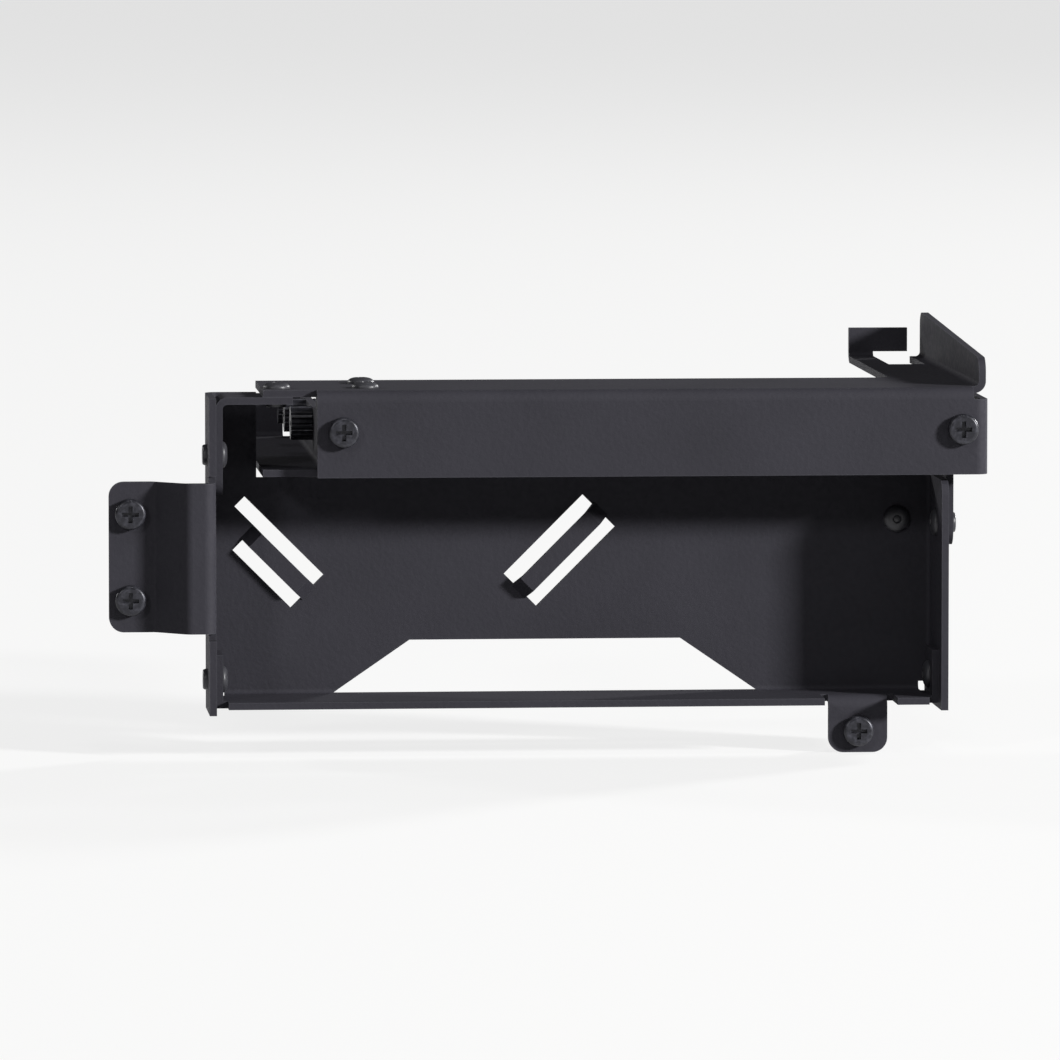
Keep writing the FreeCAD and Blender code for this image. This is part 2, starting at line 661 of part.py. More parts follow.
def tray_support_right():
    """Corner plate outside the pan: a tab behind the bar, a side leg and a rear leg behind the panel."""
    body = new_body("tray_support_right")
    outer = d.pan_width + d.sheet
    tab_end = d.pan_width + d.support_right_tab
    rear_end = d.pan_width - d.support_right_rear
    back = panel_back + d.sheet
    profile = [
        (d.pan_width, d.sheet), (tab_end, d.sheet), (tab_end, d.sheet * 2), (outer, d.sheet * 2),
        (outer, back), (rear_end, back), (rear_end, panel_back), (d.pan_width, panel_back),
    ]
    add(body, "corner", "XY", profile, d.support_right_bottom, d.tray_level)
    fold(body, "tab_fold", "Z", (d.pan_width, d.sheet), (outer, d.sheet * 2))
    fold(body, "rear_fold", "Z", (outer, back), (d.pan_width, panel_back))

    # The tab stays behind the bar, and the rear leg stays low on the panel's back.
    fold_back = d.sheet + fold_room
    tab_low = bar_bottom + d.sheet
    below = rectangle(d.pan_width - overcut, d.support_right_bottom - overcut, tab_end + overcut, tab_low)
    cut(body, "tab_relief", "XZ", [below], -overcut, fold_back)
    above = rectangle(
        d.pan_width - overcut, d.tray_level - d.bend_inside, tab_end + overcut, d.tray_level + overcut)
    cut(body, "tab_top", "XZ", [above], -overcut, fold_back)
    rear_top = d.support_right_bottom + d.support_right_rear_height
    over = rectangle(rear_end - overcut, rear_top, outer + overcut, d.tray_level + overcut)
    cut(body, "rear_relief", "XZ", [over], back - fold_room, back + overcut)
    round_edges(body, "leg_corner", "X", [(fold_back, d.support_right_bottom)], d.corner_round)

    tab_spot = (bar_screw_right_x, bar_screw_level)
    drill(body, "bar_screw_hole", "XZ", [tab_spot], screw_hole, -overcut, overcut * 2)
    drill(
        body, "wall_hole", "YZ", [right_support_rivet_spot], rivet_hole,
        d.pan_width - overcut, outer + overcut)
    drill(body, "panel_hole", "XZ", [panel_rivet_spot], rivet_hole, panel_back - overcut, back + overcut)
    place(body, 0, 0, 0)


def turned_body(label, profile):
    """Body turned about Z from a half profile of (radius, height) corners."""
    body = new_body(label)
    sketch = new_sketch(body, "half", "XZ", 0)
    draw_outline(sketch, profile)
    turned = body.newObject("PartDesign::Revolution", "turned")
    turned.Profile = sketch
    turned.ReferenceAxis = (sketch, ["V_Axis"])
    turned.Angle = 360
    finish(turned)
    return body


def round_head(body, height, radius):
    """Fillet of the head's outer top edge, the widest circle at that height."""
    base = body.Tip
    tops = [
        (edge.Curve.Radius, f"Edge{number}") for number, edge in enumerate(base.Shape.Edges, 1)
        if isinstance(edge.Curve, Part.Circle) and abs(edge.Curve.Center.z - height.value) < 0.001
    ]
    fillet = body.newObject("PartDesign::Fillet", "head_round")
    fillet.Base = (base, [max(tops)[1]])
    fillet.setExpression("Radius", radius.formula)
    finish(fillet)


def cross_recess(body, height):
    """Plus-shaped drive recess in the top of a head."""
    long = d.recess_length / 2
    short = d.recess_width / 2
    plus = [
        (long, -short), (long, short), (short, short), (short, long), (-short, long), (-short, short),
        (-long, short), (-long, -short), (-short, -short), (-short, -long), (short, -long), (short, -short),
    ]
    cut(body, "recess", "XY", [plus], height - d.recess_depth, height + overcut)


def shank(length):
    """Half profile of a screw below its head: the thread, and a thinner neck inside the first sheet."""
    return [
        (0, -length), (d.screw_radius, -length), (d.screw_radius, -d.sheet),
        (d.screw_neck_radius, -d.sheet), (d.screw_neck_radius, 0),
    ]


def screw(label, spot, turn, length):
    """Pan-head screw whose head seats at the spot."""
    head = [
        (d.screw_head_radius, 0), (d.screw_head_radius, d.screw_head_height), (0, d.screw_head_height),
    ]
    body = turned_body(label, shank(length) + head)
    round_head(body, d.screw_head_height, d.screw_head_round)
    cross_recess(body, d.screw_head_height)
    place(body, *spot, turn)


def thumbscrew(label, spot, turn):
    """Screw with a knurled round head."""
    head = [(d.thumb_radius, 0), (d.thumb_radius, d.thumb_height), (0, d.thumb_height)]
    body = turned_body(label, shank(d.screw_length) + head)

    # A V that is knurl_width wide at the head's rim
    groove_top = d.thumb_radius + d.knurl_depth
    groove = [(d.thumb_radius - d.knurl_depth, 0), (groove_top, -d.knurl_width), (groove_top, d.knurl_width)]
    pocket = cut(body, "groove", "XY", [groove], 0, d.thumb_height)
    knurl = body.newObject("PartDesign::PolarPattern", "knurl")
    knurl.Originals = [pocket]
    knurl.Axis = (origin_feature(body, "Z_Axis"), [""])
    knurl.Angle = 360
    knurl.Occurrences = KNURL_COUNT
    body.Tip = knurl
    finish(knurl)
    cross_recess(body, d.thumb_height)
    place(body, *spot, turn)


def rivet(label, spot, turn, grip):
    """Domed rivet through a stack of sheets, with its head at the spot and its tail behind the stack."""
    tail_end = -grip - d.rivet_tail_height
    profile = [
        (0, tail_end), (d.rivet_tail_radius, tail_end), (d.rivet_tail_radius, -grip), (d.rivet_radius, -grip),
        (d.rivet_radius, 0), (d.rivet_head_radius, 0), (d.rivet_head_radius, d.rivet_head_height),
        (0, d.rivet_head_height),
    ]
    body = turned_body(label, profile)
    round_head(body, d.rivet_head_height, d.rivet_head_round)
    place(body, *spot, turn)


def fasteners():
    """Every screw and rivet, each with the side that its head faces."""
    for label, x in (("bar_screw_left", bar_screw_left_x), ("bar_screw_right", bar_screw_right_x)):
        screw(label, (x, 0, bar_screw_level), FACE_FRONT, d.bar_screw_length)
    for label, (x, z) in zip(("ear_screw_lower", "ear_screw_upper"), ear_screw_spots):
        screw(label, (x, d.joggle, z), FACE_FRONT, d.screw_length)
    foot_x, foot_z = foot_screw_spot
    screw("foot_screw", (foot_x, d.joggle, foot_z), FACE_FRONT, d.screw_length)
    for number, middle in enumerate(slot_middles, 1):
        thumbscrew(f"slot_thumbscrew_{number}", (d.ledge_upright, middle, thumbscrew_level), FACE_LEFT)

    two_sheets = d.sheet * 2
    corner_y, corner_z = corner_rivet_spot
    rivet("corner_rivet_left", (two_sheets, corner_y, corner_z), FACE_RIGHT, two_sheets)
    rivet("corner_rivet_right", (d.pan_width - two_sheets, corner_y, corner_z), FACE_LEFT, two_sheets)
    left_y, left_z = left_support_rivet_spot
    rivet("support_rivet_left", (two_sheets, left_y, left_z), FACE_RIGHT, two_sheets)
    right_y, right_z = right_support_rivet_spot
    rivet("support_rivet_right", (wall_inner_right, right_y, right_z), FACE_LEFT, two_sheets)
    panel_x, panel_z = panel_rivet_spot
    rivet("panel_rivet", (panel_x, d.pan_depth, panel_z), FACE_FRONT, two_sheets)
    tray_x, tray_y = tray_rivet_spot
    rivet("tray_rivet_left", (tray_x, tray_y, tray_top), FACE_UP, two_sheets)
    for label, (x, y) in zip(("ledge_rivet_front", "ledge_rivet_rear"), ledge_rivet_spots):
        rivet(label, (x, y, tray_top), FACE_UP, two_sheets)


def check_and_write():
    """Stop on any failed object or bad shape, then write one file for each piece."""
    doc.recompute()
    for thing in doc.Objects:
        if "Invalid" in thing.State or "Error" in thing.State:
            raise RuntimeError(f"{thing.Label} failed: {thing.State}")
    bodies = [thing for thing in doc.Objects if thing.TypeId == "PartDesign::Body"]
    for body in bodies:
        if body.Shape.isNull() or not body.Shape.isValid() or len(body.Shape.Solids) != 1:
            raise RuntimeError(f"{body.Label} is not one valid solid")
    os.makedirs("parts", exist_ok=True)
    for body in bodies:
        body.Shape.exportStep(f"parts/{body.Label}.step")
    print(f"{len(bodies)} pieces written")


base_panel()
slot_tray()
screw_ledge()
tray_support_left()
tray_support_right()
fasteners()
check_and_write()
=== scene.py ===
"""Looks of the bracket: coated sheets, blackened screws with threads, rivets, and a plain studio stage."""
import math

import bpy
import numpy as np
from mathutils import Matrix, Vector


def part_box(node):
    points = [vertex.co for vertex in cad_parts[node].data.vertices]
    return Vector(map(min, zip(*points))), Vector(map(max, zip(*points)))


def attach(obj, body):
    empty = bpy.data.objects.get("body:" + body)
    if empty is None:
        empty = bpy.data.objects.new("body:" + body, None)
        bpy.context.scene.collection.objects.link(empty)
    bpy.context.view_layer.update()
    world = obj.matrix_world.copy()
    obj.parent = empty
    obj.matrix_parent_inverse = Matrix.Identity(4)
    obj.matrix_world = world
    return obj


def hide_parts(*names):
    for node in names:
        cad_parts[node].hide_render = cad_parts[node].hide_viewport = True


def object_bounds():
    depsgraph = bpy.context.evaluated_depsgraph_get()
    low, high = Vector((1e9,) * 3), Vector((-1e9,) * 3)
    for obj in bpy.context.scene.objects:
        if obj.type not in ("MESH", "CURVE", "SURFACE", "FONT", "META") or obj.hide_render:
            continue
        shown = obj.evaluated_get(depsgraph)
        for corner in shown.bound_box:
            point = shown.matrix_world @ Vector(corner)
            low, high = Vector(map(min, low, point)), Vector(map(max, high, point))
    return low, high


bl_info = {
    "name": "Card bracket looks",
    "version": (1, 0, 0),
    "blender": (4, 5, 0),
    "location": "3D View > Sidebar > Bracket",
    "description": "Dresses the folded bracket and sets its studio stage",
    "category": "Object",
}

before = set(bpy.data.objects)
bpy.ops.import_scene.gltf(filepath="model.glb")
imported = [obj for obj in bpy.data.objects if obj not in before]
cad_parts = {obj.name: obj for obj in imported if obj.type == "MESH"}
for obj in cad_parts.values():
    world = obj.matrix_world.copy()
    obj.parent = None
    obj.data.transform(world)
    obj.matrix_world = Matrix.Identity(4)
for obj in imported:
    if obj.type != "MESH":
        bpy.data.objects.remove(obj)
CAD_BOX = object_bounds()
MM = 0.001
BODY = "root"

SHEETS = ("base_panel", "slot_tray", "screw_ledge", "tray_support_left", "tray_support_right")

# Each screw, the way its shank points, and how far its thread shows past the sheets
SCREW_SHANKS = {
    "ear_screw_upper": ("+Y", 5.7),
    "ear_screw_lower": ("+Y", 5.7),
    "foot_screw": ("+Y", 5.7),
    "bar_screw_left": ("+Y", 2.1),
    "bar_screw_right": ("+Y", 2.1),
    "slot_thumbscrew_1": ("+X", 5.7),
    "slot_thumbscrew_2": ("+X", 5.7),
    "slot_thumbscrew_3": ("+X", 5.7),
}

# Each rivet and the way its head faces
RIVET_HEADS = {
    "corner_rivet_left": "+X",
    "corner_rivet_right": "-X",
    "support_rivet_left": "+X",
    "support_rivet_right": "-X",
    "panel_rivet": "-Y",
    "tray_rivet_left": "+Z",
    "ledge_rivet_front": "+Z",
    "ledge_rivet_rear": "+Z",
}

# Thread: points in one turn, the ridge's foot as a share of the shank's radius, and half its width as a share of
# the pitch
THREAD_STEPS = 36
THREAD_FOOT = 0.97
THREAD_HALF = 0.42

# Rivet: points round it and along its dome and tail, the domed share of its head, and how far the tail draws in
RIVET_SIDES = 48
DOME_STEPS = 14
TAIL_STEPS = 8
DOME_SHARE = 0.85
TAIL_DRAW = 0.3 * MM

# Crown of the mandrel: shares of its radius and of the dimple's depth, from its middle outwards
MANDREL_CROWN = np.array([[0.0, 0.7], [0.6, 0.75], [0.9, 1.0]])

# Edges that turn by more than this stay sharp
SHARP_EDGE = math.radians(35)

# Width of a spot in the screws' oxide, in the rivets' paint and of a fibre in the floor's paper
OXIDE_SPOT = 0.9 * MM
PAINT_SPOT = 1.4 * MM
PAPER_FIBRE = 2 * MM

# Each lamp: its level's name in the stage settings, then its azimuth and elevation in degrees
LAMPS = {
    "key_lamp": ("key", 57, 19),
    "fill_lamp": ("fill", -37, 26),
    "top_lamp": ("top", 5, 62),
    "rear_right_lamp": ("rear_right", 130, 18),
    "rear_left_lamp": ("rear_left", -130, 18),
}
LAMP_DISTANCE = 3.0
LAMP_SIZE = 0.35
FLOOR_HALF = 12.0


class CoatSettings(bpy.types.PropertyGroup):
    """Colours and grain of the powder coat."""

    dark: bpy.props.StringProperty(
        name="Dark tone", description="sRGB hex of the coat's darker patches", default="313036")
    light: bpy.props.StringProperty(
        name="Light tone", description="sRGB hex of the coat's lighter patches", default="3C3B42")
    # Real pebbles are about 0.3 mm wide, too fine for the render, so they are drawn coarser and higher
    grain: bpy.props.FloatProperty(
        name="Grain", description="Width of one bump of the coat's texture", default=0.8 * MM, unit="LENGTH")
    patch: bpy.props.FloatProperty(
        name="Patch", description="Width of a patch of slightly different tone",
        default=18 * MM, unit="LENGTH")
    # Lighter tone and width of the line painted on every edge: partly the coat's real thinning, partly a painted
    # highlight of the bends
    rubbed_and_highlight: bpy.props.StringProperty(
        name="Rubbed tone", description="sRGB hex of the coat where it is thin on an edge", default="57575D")
    edge: bpy.props.FloatProperty(
        name="Edge", description="Width of the thin coat along an edge", default=0.35 * MM, unit="LENGTH")
    relief: bpy.props.FloatProperty(
        name="Relief", description="Height of the coat's texture", default=0.06 * MM, unit="LENGTH")


class ScrewSettings(bpy.types.PropertyGroup):
    """Colour and thread of the screws."""

    tone: bpy.props.StringProperty(
        name="Tone", description="sRGB hex of the blackened steel", default="2B2B31")
    worn: bpy.props.StringProperty(
        name="Worn tone", description="sRGB hex where the blackening is thin", default="4A4A52")
    pitch: bpy.props.FloatProperty(
        name="Pitch", description="Distance from one thread to the next", default=0.5 * MM, unit="LENGTH")
    ridge: bpy.props.FloatProperty(
        name="Ridge", description="Height of the thread above the shank", default=0.08 * MM, unit="LENGTH")
    shank: bpy.props.FloatProperty(
        name="Shank", description="Radius of the shank under the thread", default=1.5 * MM, unit="LENGTH")


class RivetSettings(bpy.types.PropertyGroup):
    """Sizes and colour of the blind rivets."""

    tone: bpy.props.StringProperty(
        name="Tone", description="sRGB hex of the black rivet", default="303034")
    light: bpy.props.StringProperty(
        name="Light tone", description="sRGB hex where the rivet's paint is thin", default="46464B")
    mandrel: bpy.props.FloatProperty(
        name="Mandrel", description="Radius of the mandrel in the head", default=0.75 * MM, unit="LENGTH")
    dimple: bpy.props.FloatProperty(
        name="Dimple", description="Depth of the mandrel below the head's crown",
        default=0.45 * MM, unit="LENGTH")
    shank: bpy.props.FloatProperty(
        name="Shank", description="Radius of the shank", default=1.2 * MM, unit="LENGTH")
    tail: bpy.props.FloatProperty(
        name="Tail", description="Radius of the formed tail", default=1.8 * MM, unit="LENGTH")
    tail_height: bpy.props.FloatProperty(
        name="Tail height", description="Height of the formed tail", default=0.8 * MM, unit="LENGTH")
    head_height: bpy.props.FloatProperty(
        name="Head height", description="Height of the domed head", default=1.0 * MM, unit="LENGTH")


class StageSettings(bpy.types.PropertyGroup):
    """Camera, lamps and backdrop."""

    azimuth: bpy.props.FloatProperty(
        name="Azimuth", description="Camera's turn round the bracket",
        default=math.radians(-4.6), subtype="ANGLE")
    elevation: bpy.props.FloatProperty(
        name="Elevation", description="Camera's height angle", default=math.radians(4.6), subtype="ANGLE")
    distance: bpy.props.FloatProperty(
        name="Distance", description="From the camera to the bracket", default=1.62, unit="LENGTH")
    lens: bpy.props.FloatProperty(
        name="Lens", description="Focal length of the camera", default=318.0, unit="CAMERA")
    floor: bpy.props.StringProperty(
        name="Floor", description="sRGB hex of the floor", default="747473")
    glow: bpy.props.FloatProperty(
        name="Glow", description="White that the floor adds for the camera", default=0.74, min=0.0, max=1.0)
    key: bpy.props.FloatProperty(
        name="Key lamp", description="Level of the lamp on the right, where 1 lights a white face fully",
        default=1.4)
    fill: bpy.props.FloatProperty(
        name="Fill lamp", description="Level of the lamp on the left", default=0.15)
    top: bpy.props.FloatProperty(
        name="Top lamp", description="Level of the lamp high over the camera", default=0.1)
    rear_right: bpy.props.FloatProperty(
        name="Rear right lamp", description="Level of the lamp behind on the right", default=0.6)
    rear_left: bpy.props.FloatProperty(
        name="Rear left lamp", description="Level of the lamp behind on the left", default=0.25)
    world: bpy.props.FloatProperty(
        name="World", description="Level of the even light from all round", default=0.03, min=0.0)


def linear(hex_tone):
    """Linear RGBA of an sRGB hex tone.

    Each channel c is c / 12.92 below 0.04045, else ((c + 0.055) / 1.055) ^ 2.4.
    """
    channels = np.array([int(hex_tone[i:i + 2], 16) for i in (0, 2, 4)]) / 255
    low = channels / 12.92
    high = ((channels + 0.055) / 1.055) ** 2.4
    return (*np.where(channels <= 0.04045, low, high).tolist(), 1.0)


def add_node(tree, kind, settings=None, links=None, **values):
    """Node of one kind, with its settings, its input values, and links from other nodes' sockets."""
    node = tree.nodes.new(kind)
    for name, value in (settings or {}).items():
        setattr(node, name, value)
    for name, value in values.items():
        node.inputs[name.replace("_", " ")].default_value = value
    for name, source in (links or {}).items():
        tree.links.new(source, node.inputs[name])
    return node


def new_material(name):
    """Empty node material, with its shader and the object's own coordinates."""
    material = bpy.data.materials.new(name)
    material.use_nodes = True
    tree = material.node_tree
    tree.nodes.clear()
    shader = add_node(tree, "ShaderNodeBsdfPrincipled")
    add_node(tree, "ShaderNodeOutputMaterial", links={"Surface": shader.outputs["BSDF"]})
    where = add_node(tree, "ShaderNodeTexCoord").outputs["Object"]
    return material, tree, shader, where


def powder_coated_steel(settings):
    """Black powder coat baked on sheet steel.

    The powder melts to a satin skin, so the eye sees a soft sheen that is broken up by fine pebbles, tones that
    drift a little over a few centimetres, and a greyer line on each edge, painted partly for the thin coat there
    and partly as a highlight the edges catch.
    """
    material, tree, shader, where = new_material("powder_coated_steel")
    patches = add_node(
        tree, "ShaderNodeTexNoise", links={"Vector": where},
        Scale=1 / settings.patch, Detail=3.0, Roughness=0.6)
    pebbles = add_node(
        tree, "ShaderNodeTexNoise", links={"Vector": where},
        Scale=1 / settings.grain, Detail=2.0, Roughness=0.5)
    tone = add_node(
        tree, "ShaderNodeMix", {"data_type": "RGBA"}, {"Factor": patches.outputs["Fac"]},
        A=linear(settings.dark), B=linear(settings.light))
    # Edge mask from the bevel: a lighter tone is painted on the edges, partly for the thin coat and partly as a
    # painted highlight
    rounded = add_node(tree, "ShaderNodeBevel", {"samples": 6}, Radius=settings.edge)
    flat = add_node(tree, "ShaderNodeNewGeometry")
    turn = add_node(
        tree, "ShaderNodeVectorMath", {"operation": "DOT_PRODUCT"},
        {0: rounded.outputs["Normal"], 1: flat.outputs["True Normal"]})
    thin = add_node(
        tree, "ShaderNodeMapRange", links={"Value": turn.outputs["Value"]},
        From_Min=0.97, From_Max=0.75, To_Min=0.0, To_Max=0.5)
    worn = add_node(
        tree, "ShaderNodeMix", {"data_type": "RGBA"},
        {"Factor": thin.outputs["Result"], "A": tone.outputs["Result"]}, B=linear(settings.rubbed_and_highlight))
    tree.links.new(worn.outputs["Result"], shader.inputs["Base Color"])
    gloss = add_node(
        tree, "ShaderNodeMapRange", links={"Value": pebbles.outputs["Fac"]},
        From_Min=0.3, From_Max=0.7, To_Min=0.6, To_Max=0.74)
    tree.links.new(gloss.outputs["Result"], shader.inputs["Roughness"])
    skin = add_node(
        tree, "ShaderNodeBump", links={"Height": pebbles.outputs["Fac"]},
        Strength=0.9, Distance=settings.relief)
    tree.links.new(skin.outputs["Normal"], shader.inputs["Normal"])
    shader.inputs["Specular IOR Level"].default_value = 0.18
    return material


def blackened_steel(settings):
    """Screw steel that is turned, rolled and then blackened with hot oxide.

    The oxide is thin over bright metal, so the eye sees a dark, slightly glossy skin with sharp small highlights
    on the rims, and greyer spots where handling has thinned it.
    """
    material, tree, shader, where = new_material("blackened_steel")
    spots = add_node(
        tree, "ShaderNodeTexNoise", links={"Vector": where}, Scale=1 / OXIDE_SPOT, Detail=3.0, Roughness=0.6)
    thin = add_node(
        tree, "ShaderNodeMapRange", links={"Value": spots.outputs["Fac"]},
        From_Min=0.45, From_Max=0.75, To_Min=0.0, To_Max=1.0)
    tone = add_node(
        tree, "ShaderNodeMix", {"data_type": "RGBA"}, {"Factor": thin.outputs["Result"]},
        A=linear(settings.tone), B=linear(settings.worn))
    tree.links.new(tone.outputs["Result"], shader.inputs["Base Color"])
    gloss = add_node(
        tree, "ShaderNodeMapRange", links={"Value": spots.outputs["Fac"]},
        From_Min=0.3, From_Max=0.7, To_Min=0.3, To_Max=0.45)
    tree.links.new(gloss.outputs["Result"], shader.inputs["Roughness"])
    shader.inputs["Metallic"].default_value = 0.35
    return material


def black_rivet(settings):
    """Blind rivet of aluminium, painted black before it is set.

    The paint is smoother than the sheets' coat, so the eye sees a rounder highlight on the dome, and a greyer tone
    in patches where the setting tool has pressed it.
    """
    material, tree, shader, where = new_material("black_rivet")
    spots = add_node(
        tree, "ShaderNodeTexNoise", links={"Vector": where}, Scale=1 / PAINT_SPOT, Detail=2.0, Roughness=0.5)
    tone = add_node(
        tree, "ShaderNodeMix", {"data_type": "RGBA"}, {"Factor": spots.outputs["Fac"]},
        A=linear(settings.tone), B=linear(settings.light))
    tree.links.new(tone.outputs["Result"], shader.inputs["Base Color"])
    gloss = add_node(
        tree, "ShaderNodeMapRange", links={"Value": spots.outputs["Fac"]},
        From_Min=0.3, From_Max=0.7, To_Min=0.35, To_Max=0.48)
    tree.links.new(gloss.outputs["Result"], shader.inputs["Roughness"])
    return material


def axes_for(direction):
    """The axis that a signed direction names, its sign, and three right-handed unit vectors that start along it."""
    axis = "XYZ".index(direction[1])
    sign = 1.0 if direction[0] == "+" else -1.0
    along = np.zeros(3)
    along[axis] = sign
    side = np.zeros(3)
    side[(axis + 1) % 3] = 1.0
    return axis, sign, along, side, np.cross(along, side)


def make_piece(name, points, faces, material):
    """Mesh object at the origin, smooth but for its sharp rims, with its place in its points."""
    mesh = bpy.data.meshes.new(name)
    mesh.from_pydata(points.tolist(), [], faces)
    mesh.materials.append(material)
    mesh.shade_smooth()
    mesh.set_sharp_from_angle(angle=SHARP_EDGE)
    mesh.update()
    piece = bpy.data.objects.new(name, mesh)
    bpy.context.scene.collection.objects.link(piece)
    return piece


def ring_faces(rows, columns):
    """Quads between neighbouring rings of a grid that is closed across its columns."""
    row, column = np.meshgrid(np.arange(rows - 1), np.arange(columns), indexing="ij")
    after = (column + 1) % columns
    here = row * columns
    ahead = here + columns
    return np.stack([here + column, here + after, ahead + after, ahead + column], -1).reshape(-1, 4)


def thread_ridge(name, tip, along, side, across, length, settings, material):
    """Thread on a shank: a triangle carried along a helix, which sinks into the shank at both ends.

    At turn t the triangle's two feet lie just inside the shank, a pitch apart less a small gap, and its crest
    rises from there to the ridge height by a fade that grows over the first turn and falls over the last.
    """
    turns = length / settings.pitch - 1
    t = np.linspace(0, turns, int(turns * THREAD_STEPS))
    fade = np.clip(np.minimum(t, turns - t), 0, 1)
    foot = settings.shank * THREAD_FOOT
    crest = foot + (settings.ridge + settings.shank - foot) * fade
    half = settings.pitch * THREAD_HALF
    radius = np.stack([np.full_like(t, foot), crest, np.full_like(t, foot)], -1)
    offset = np.array([-half, 0, half])
    height = length - (t[:, None] + 0.5) * settings.pitch + offset
    angle = 2 * np.pi * t[:, None]
    rim = radius[..., None] * (np.cos(angle)[..., None] * side + np.sin(angle)[..., None] * across)
    points = (tip + rim - height[..., None] * along).reshape(-1, 3)
    faces = ring_faces(len(t), 3).tolist()
    faces.append([2, 1, 0])
    last = 3 * (len(t) - 1)
    faces.append([last, last + 1, last + 2])
    return make_piece(name, points, faces, material)


def rivet_shape(name, crown, along, side, across, length, radius, settings, material):
    """Blind rivet turned about its axis: a domed head with a sunk mandrel, a shank and a rounded tail.

    The dome is a quarter ellipse from the mandrel's hole to the rim, and the tail's side a quarter ellipse that
    draws in towards its end.
    """
    dome = np.linspace(0, np.pi / 2, DOME_STEPS)
    hole = settings.mandrel
    dome_r = hole + (radius - hole) * np.sin(dome)
    dome_z = -settings.head_height * DOME_SHARE * (1 - np.cos(dome))
    bulge = np.linspace(0, np.pi / 2, TAIL_STEPS)
    tail_top = settings.tail_height - length
    tail_r = settings.tail - TAIL_DRAW * (1 - np.cos(bulge))
    tail_z = tail_top - settings.tail_height * np.sin(bulge)
    profile = np.concatenate([
        MANDREL_CROWN * [hole, -settings.dimple],
        np.stack([dome_r, dome_z], -1),
        [[radius, -settings.head_height]],
        [[settings.shank, -settings.head_height], [settings.shank, tail_top]],
        np.stack([tail_r, tail_z], -1),
        [[0, -length]],
    ])
    columns = RIVET_SIDES
    angle = np.linspace(0, 2 * np.pi, columns, endpoint=False)
    turned = np.cos(angle)[:, None] * side + np.sin(angle)[:, None] * across
    rings = profile[1:-1]
    body = rings[:, 0, None, None] * turned + rings[:, 1, None, None] * along
    poles = profile[[0, -1], 1, None] * along
    points = crown + np.concatenate([body.reshape(-1, 3), poles])
    faces = ring_faces(len(rings), columns)[:, ::-1].tolist()
    top = len(rings) * columns
    here = np.arange(columns)
    after = (here + 1) % columns
    last = (len(rings) - 1) * columns
    faces += np.stack([np.full(columns, top), here, after], -1).tolist()
    faces += np.stack([np.full(columns, top + 1), last + after, last + here], -1).tolist()
    return make_piece(name, points, faces, material)


class BRACKET_OT_coat_sheets(bpy.types.Operator):
    """Give the folded sheets their powder coat"""

    bl_idname = "bracket.coat_sheets"
    bl_label = "Coat sheets"

    def execute(self, context):
        coat = powder_coated_steel(context.scene.bracket_coat)
        for name in SHEETS:
            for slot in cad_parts[name].material_slots:
                slot.material = coat
        return {"FINISHED"}


class BRACKET_OT_thread_screws(bpy.types.Operator):
    """Blacken the screws and cut the threads on their shanks"""

    bl_idname = "bracket.thread_screws"
    bl_label = "Thread screws"

    def execute(self, context):
        settings = context.scene.bracket_screws
        steel = blackened_steel(settings)
        for name, (direction, shown) in SCREW_SHANKS.items():
            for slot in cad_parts[name].material_slots:
                slot.material = steel
            low, high = (np.array(corner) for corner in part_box(name))
            axis, sign, along, side, across = axes_for(direction)
            tip = (low + high) / 2
            tip[axis] = high[axis] if sign > 0 else low[axis]
            thread = thread_ridge(name + "_thread", tip, along, side, across, shown * MM, settings, steel)
            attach(thread, BODY)
        return {"FINISHED"}


class BRACKET_OT_set_rivets(bpy.types.Operator):
    """Set the blind rivets with their domed heads and mandrels"""

    bl_idname = "bracket.set_rivets"
    bl_label = "Set rivets"

    def execute(self, context):
        settings = context.scene.bracket_rivets
        paint = black_rivet(settings)
        for name, direction in RIVET_HEADS.items():
            low, high = (np.array(corner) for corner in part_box(name))
            axis, sign, along, side, across = axes_for(direction)
            crown = (low + high) / 2
            crown[axis] = high[axis] if sign > 0 else low[axis]
            size = high - low
            radius = size[(axis + 1) % 3] / 2
            rivet = rivet_shape(
                name + "_turned", crown, along, side, across, size[axis], radius, settings, paint)
            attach(rivet, BODY)
            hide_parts(name)
        return {"FINISHED"}


class BRACKET_OT_set_stage(bpy.types.Operator):
    """Set the floor, backdrop, lamps and camera"""

    bl_idname = "bracket.set_stage"
    bl_label = "Set stage"

    def execute(self, context):
        settings = context.scene.bracket_stage
        low, high = CAD_BOX
        middle = (low + high) / 2
        context.scene.view_settings.view_transform = "Standard"
        set_floor(settings, low.z)
        set_world(settings)
        for name, (level, azimuth, elevation) in LAMPS.items():
            set_lamp(name, getattr(settings, level), middle, azimuth, elevation)
        set_camera(settings, middle)
        return {"FINISHED"}


def stage_direction(azimuth, elevation):
    """Unit vector from the bracket: azimuth 0 faces the front and turns towards +X, and elevation rises to +Z."""
    level = math.cos(elevation)
    return Vector((math.sin(azimuth) * level, -math.cos(azimuth) * level, math.sin(elevation)))


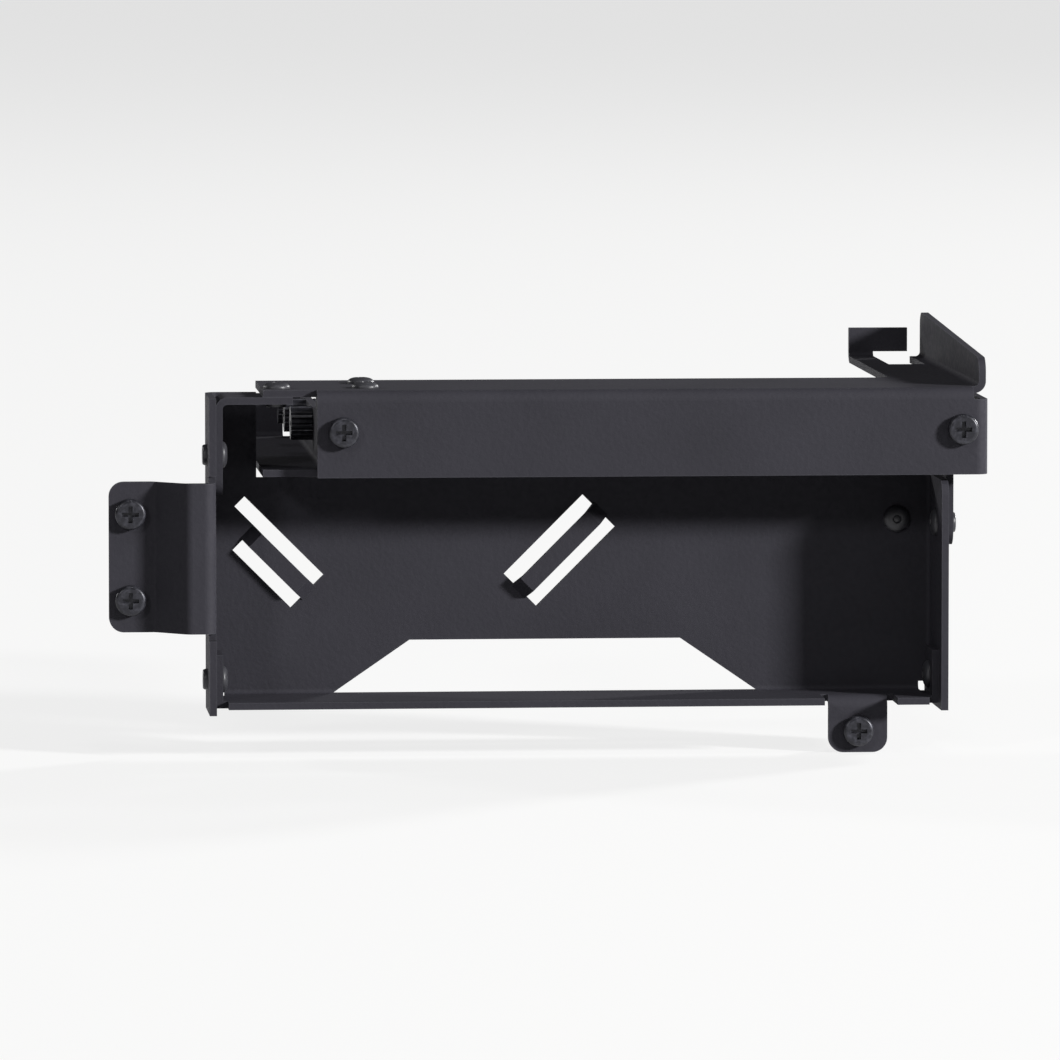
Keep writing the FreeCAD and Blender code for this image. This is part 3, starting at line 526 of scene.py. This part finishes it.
def set_floor(settings, level):
    """Wide square floor at the bracket's lowest point, which takes its shadow and looks white to the camera."""
    corners = np.array([[-1, -1, 0], [1, -1, 0], [1, 1, 0], [-1, 1, 0]]) * FLOOR_HALF + [0, 0, level]
    material, tree, shader, where = new_material("matt_floor_paper")
    fibres = add_node(tree, "ShaderNodeTexNoise", links={"Vector": where}, Scale=1 / PAPER_FIBRE, Detail=2.0)
    matt = add_node(
        tree, "ShaderNodeMapRange", links={"Value": fibres.outputs["Fac"]}, To_Min=0.85, To_Max=0.95)
    tree.links.new(matt.outputs["Result"], shader.inputs["Roughness"])
    shader.inputs["Base Color"].default_value = linear(settings.floor)
    ray = add_node(tree, "ShaderNodeLightPath")
    seen = add_node(
        tree, "ShaderNodeMath", {"operation": "MAXIMUM"},
        {0: ray.outputs["Is Camera Ray"], 1: ray.outputs["Is Glossy Ray"]})
    shown = add_node(
        tree, "ShaderNodeMath", {"operation": "MAXIMUM"},
        {0: seen.outputs["Value"], 1: ray.outputs["Is Transmission Ray"]})
    white = add_node(
        tree, "ShaderNodeMath", {"operation": "MULTIPLY"}, {0: shown.outputs["Value"]})
    white.inputs[1].default_value = settings.glow
    shader.inputs["Emission Color"].default_value = (1.0, 1.0, 1.0, 1.0)
    tree.links.new(white.outputs["Value"], shader.inputs["Emission Strength"])
    make_piece("floor", corners, [[0, 1, 2, 3]], material)


def set_world(settings):
    """Even grey light from all round."""
    world = bpy.data.worlds.new("studio")
    bpy.context.scene.world = world
    world.use_nodes = True
    background = world.node_tree.nodes["Background"]
    background.inputs["Color"].default_value = (1.0, 1.0, 1.0, 1.0)
    background.inputs["Strength"].default_value = settings.world


def set_lamp(name, level, target, azimuth, elevation):
    """Square area lamp that faces the bracket from a direction in degrees.

    A lamp of power P lights a white face square to it to P / (pi * distance) ^ 2, so its power follows from its
    level.
    """
    lamp = bpy.data.lights.new(name, "AREA")
    lamp.energy = level * (math.pi * LAMP_DISTANCE) ** 2
    lamp.size = LAMP_SIZE
    holder = bpy.data.objects.new(name, lamp)
    away = stage_direction(math.radians(azimuth), math.radians(elevation))
    holder.location = target + away * LAMP_DISTANCE
    holder.rotation_euler = (-away).to_track_quat("-Z", "Y").to_euler()
    bpy.context.scene.collection.objects.link(holder)


def set_camera(settings, target):
    """Camera at the photograph's viewing angle, aimed at the bracket's middle."""
    camera = bpy.data.objects.new("camera", bpy.data.cameras.new("camera"))
    camera.data.lens = settings.lens
    camera.data.sensor_width = 36.0
    camera.data.clip_end = 50.0
    away = stage_direction(settings.azimuth, settings.elevation)
    camera.location = target + away * settings.distance
    camera.rotation_euler = (-away).to_track_quat("-Z", "Y").to_euler()
    bpy.context.scene.collection.objects.link(camera)
    bpy.context.scene.camera = camera


class BRACKET_PT_looks(bpy.types.Panel):
    """Steps that dress the bracket, with their settings"""

    bl_label = "Bracket looks"
    bl_space_type = "VIEW_3D"
    bl_region_type = "UI"
    bl_category = "Bracket"

    def draw(self, context):
        steps = (
            ("bracket.coat_sheets", "bracket_coat"),
            ("bracket.thread_screws", "bracket_screws"),
            ("bracket.set_rivets", "bracket_rivets"),
            ("bracket.set_stage", "bracket_stage"),
        )
        for operator, group in steps:
            box = self.layout.box()
            box.operator(operator)
            settings = getattr(context.scene, group)
            for name in settings.__annotations__:
                box.prop(settings, name)


CLASSES = (
    CoatSettings,
    ScrewSettings,
    RivetSettings,
    StageSettings,
    BRACKET_OT_coat_sheets,
    BRACKET_OT_thread_screws,
    BRACKET_OT_set_rivets,
    BRACKET_OT_set_stage,
    BRACKET_PT_looks,
)


def register():
    for cls in CLASSES:
        bpy.utils.register_class(cls)
    bpy.types.Scene.bracket_coat = bpy.props.PointerProperty(type=CoatSettings)
    bpy.types.Scene.bracket_screws = bpy.props.PointerProperty(type=ScrewSettings)
    bpy.types.Scene.bracket_rivets = bpy.props.PointerProperty(type=RivetSettings)
    bpy.types.Scene.bracket_stage = bpy.props.PointerProperty(type=StageSettings)


def unregister():
    for name in ("bracket_stage", "bracket_rivets", "bracket_screws", "bracket_coat"):
        delattr(bpy.types.Scene, name)
    for cls in reversed(CLASSES):
        bpy.utils.unregister_class(cls)


def main():
    """Dress the bracket step by step."""
    register()
    bpy.ops.bracket.coat_sheets()
    bpy.ops.bracket.thread_screws()
    bpy.ops.bracket.set_rivets()
    bpy.ops.bracket.set_stage()


if __name__ == "__main__":
    main()
